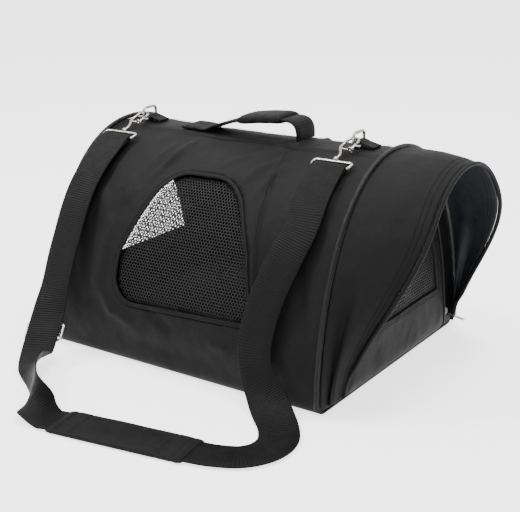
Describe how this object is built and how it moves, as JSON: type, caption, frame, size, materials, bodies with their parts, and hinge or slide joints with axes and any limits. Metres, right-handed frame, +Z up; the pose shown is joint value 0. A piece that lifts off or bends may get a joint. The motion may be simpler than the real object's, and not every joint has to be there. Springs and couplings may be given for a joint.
{
  "type": "pet carrier bag",
  "caption": "Soft black pet carrier bag with a barrel top, mesh side windows, a zipped end door under a hood, a carry handle and a clip-on padded shoulder strap.",
  "frame": {"origin": "on the floor under the middle of the body, at the underside of the base", "axes": "+Z up; +X along the length, towards the hooded door end; the shoulder strap hangs down the -Y side"},
  "size_m": [0.5174, 0.539, 0.2976],
  "materials": {
    "nylon": "matt black woven nylon or polyester",
    "mesh": "black knitted mesh with small holes",
    "webbing": "black ribbed webbing and tape",
    "piping": "black covered piping, slightly shiny",
    "spring_steel": "spring steel wire",
    "nickel": "nickel plate, worn bright",
    "board": "stiff black board",
    "fleece": "grey fleece"
  },
  "bodies": {
    "shell": {"base_panel": "nylon", "side_panel_near": "nylon", "side_panel_far": "nylon", "front_gusset_near": "nylon", "front_gusset_far": "nylon", "top_panel": "nylon", "window_mesh_near": "mesh", "window_mesh_far": "mesh", "window_binding_near": "webbing", "window_binding_far": "webbing", "piping_left": "piping", "piping_right": "piping", "arch_wire_left": "spring_steel", "arch_wire_right": "spring_steel", "end_panel": "nylon", "end_window_mesh": "mesh", "end_window_binding": "webbing", "door_rim": "nylon", "zip_chain": "webbing", "handle_root_left": "webbing", "handle_root_right": "webbing", "ring_tab_left": "webbing", "ring_tab_right": "webbing", "clip_frame_left": "nickel", "clip_frame_right": "nickel", "shoulder_strap": "webbing", "base_board": "board", "cushion": "fleece"},
    "hood": {"hood_canopy": "nylon", "hood_hoop": "spring_steel"},
    "door": {"door_panel": "nylon", "door_piping": "piping", "door_window_mesh": "mesh", "door_window_binding": "webbing"},
    "zip_slider": {"zip_slider": "nickel"},
    "zip_pull": {"zip_pull": "nickel"},
    "handle": {"handle_grip": "webbing", "handle_wrap": "nylon"},
    "ring_left": {"ring_left": "nickel"},
    "hook_left": {"clip_hook_left": "nickel"},
    "bolt_left": {"clip_bolt_left": "nickel"},
    "ring_right": {"ring_right": "nickel"},
    "hook_right": {"clip_hook_right": "nickel"},
    "bolt_right": {"clip_bolt_right": "nickel"},
    "shoulder_pad": {"shoulder_pad": "nylon"},
    "strap_slider": {"strap_slider": "nickel"}
  },
  "joints": [
    {"name": "hood_fold", "type": "hinge", "parent": "shell", "child": "hood", "pos_m": [0.206, 0, 0.01], "axis": [0, 1, 0], "range_deg": [-15, 0], "deforming": ["hood_canopy"]},
    {"name": "door_open", "type": "hinge", "parent": "shell", "child": "door", "pos_m": [0.209, 0, 0.005], "axis": [0, 1, 0], "range_deg": [0, 75], "deforming": ["hood_canopy"]},
    {"name": "zip_slide", "type": "slide", "parent": "shell", "child": "zip_slider", "axis": [0, -0.0869, 0.9962], "range_m": [0, 0.035]},
    {"name": "zip_pull_swing", "type": "hinge", "parent": "zip_slider", "child": "zip_pull", "pos_m": [0.2098, 0.1359, 0.025], "axis": [0, 1, 0], "range_deg": [-95, 70]},
    {"name": "handle_flop", "type": "hinge", "parent": "shell", "child": "handle", "pos_m": [0.02, 0, 0.2705], "axis": [1, 0, 0], "range_deg": [-30, 30]},
    {"name": "ring_left_tilt", "type": "hinge", "parent": "shell", "child": "ring_left", "pos_m": [-0.17, 0, 0.2715], "axis": [0, 1, 0], "range_deg": [-15, 15]},
    {"name": "hook_left_swivel", "type": "hinge", "parent": "shell", "child": "hook_left", "pos_m": [-0.17, -0.05408, 0.26122], "axis": [0, 0.9386, 0.3449], "range_deg": [-12, 12]},
    {"name": "bolt_left_slide", "type": "slide", "parent": "hook_left", "child": "bolt_left", "axis": [0, 0.9386, 0.3449], "range_m": [-0.006, 0], "stiffness_N_per_m": 150, "springref_m": 0.003},
    {"name": "ring_right_tilt", "type": "hinge", "parent": "shell", "child": "ring_right", "pos_m": [0.15, 0, 0.2715], "axis": [0, 1, 0], "range_deg": [-15, 15]},
    {"name": "hook_right_swivel", "type": "hinge", "parent": "shell", "child": "hook_right", "pos_m": [0.15, -0.05408, 0.26122], "axis": [0, 0.9386, 0.3449], "range_deg": [-12, 12]},
    {"name": "bolt_right_slide", "type": "slide", "parent": "hook_right", "child": "bolt_right", "axis": [0, 0.9386, 0.3449], "range_m": [-0.006, 0], "stiffness_N_per_m": 150, "springref_m": 0.003},
    {"name": "pad_slide", "type": "slide", "parent": "shell", "child": "shoulder_pad", "axis": [0.9877, 0.1564, 0], "range_m": [-0.01, 0.01]},
    {"name": "strap_slider_slide", "type": "slide", "parent": "shell", "child": "strap_slider", "axis": [-0.2412, 0.678, 0.6943], "range_m": [-0.006, 0.006]}
  ]
}
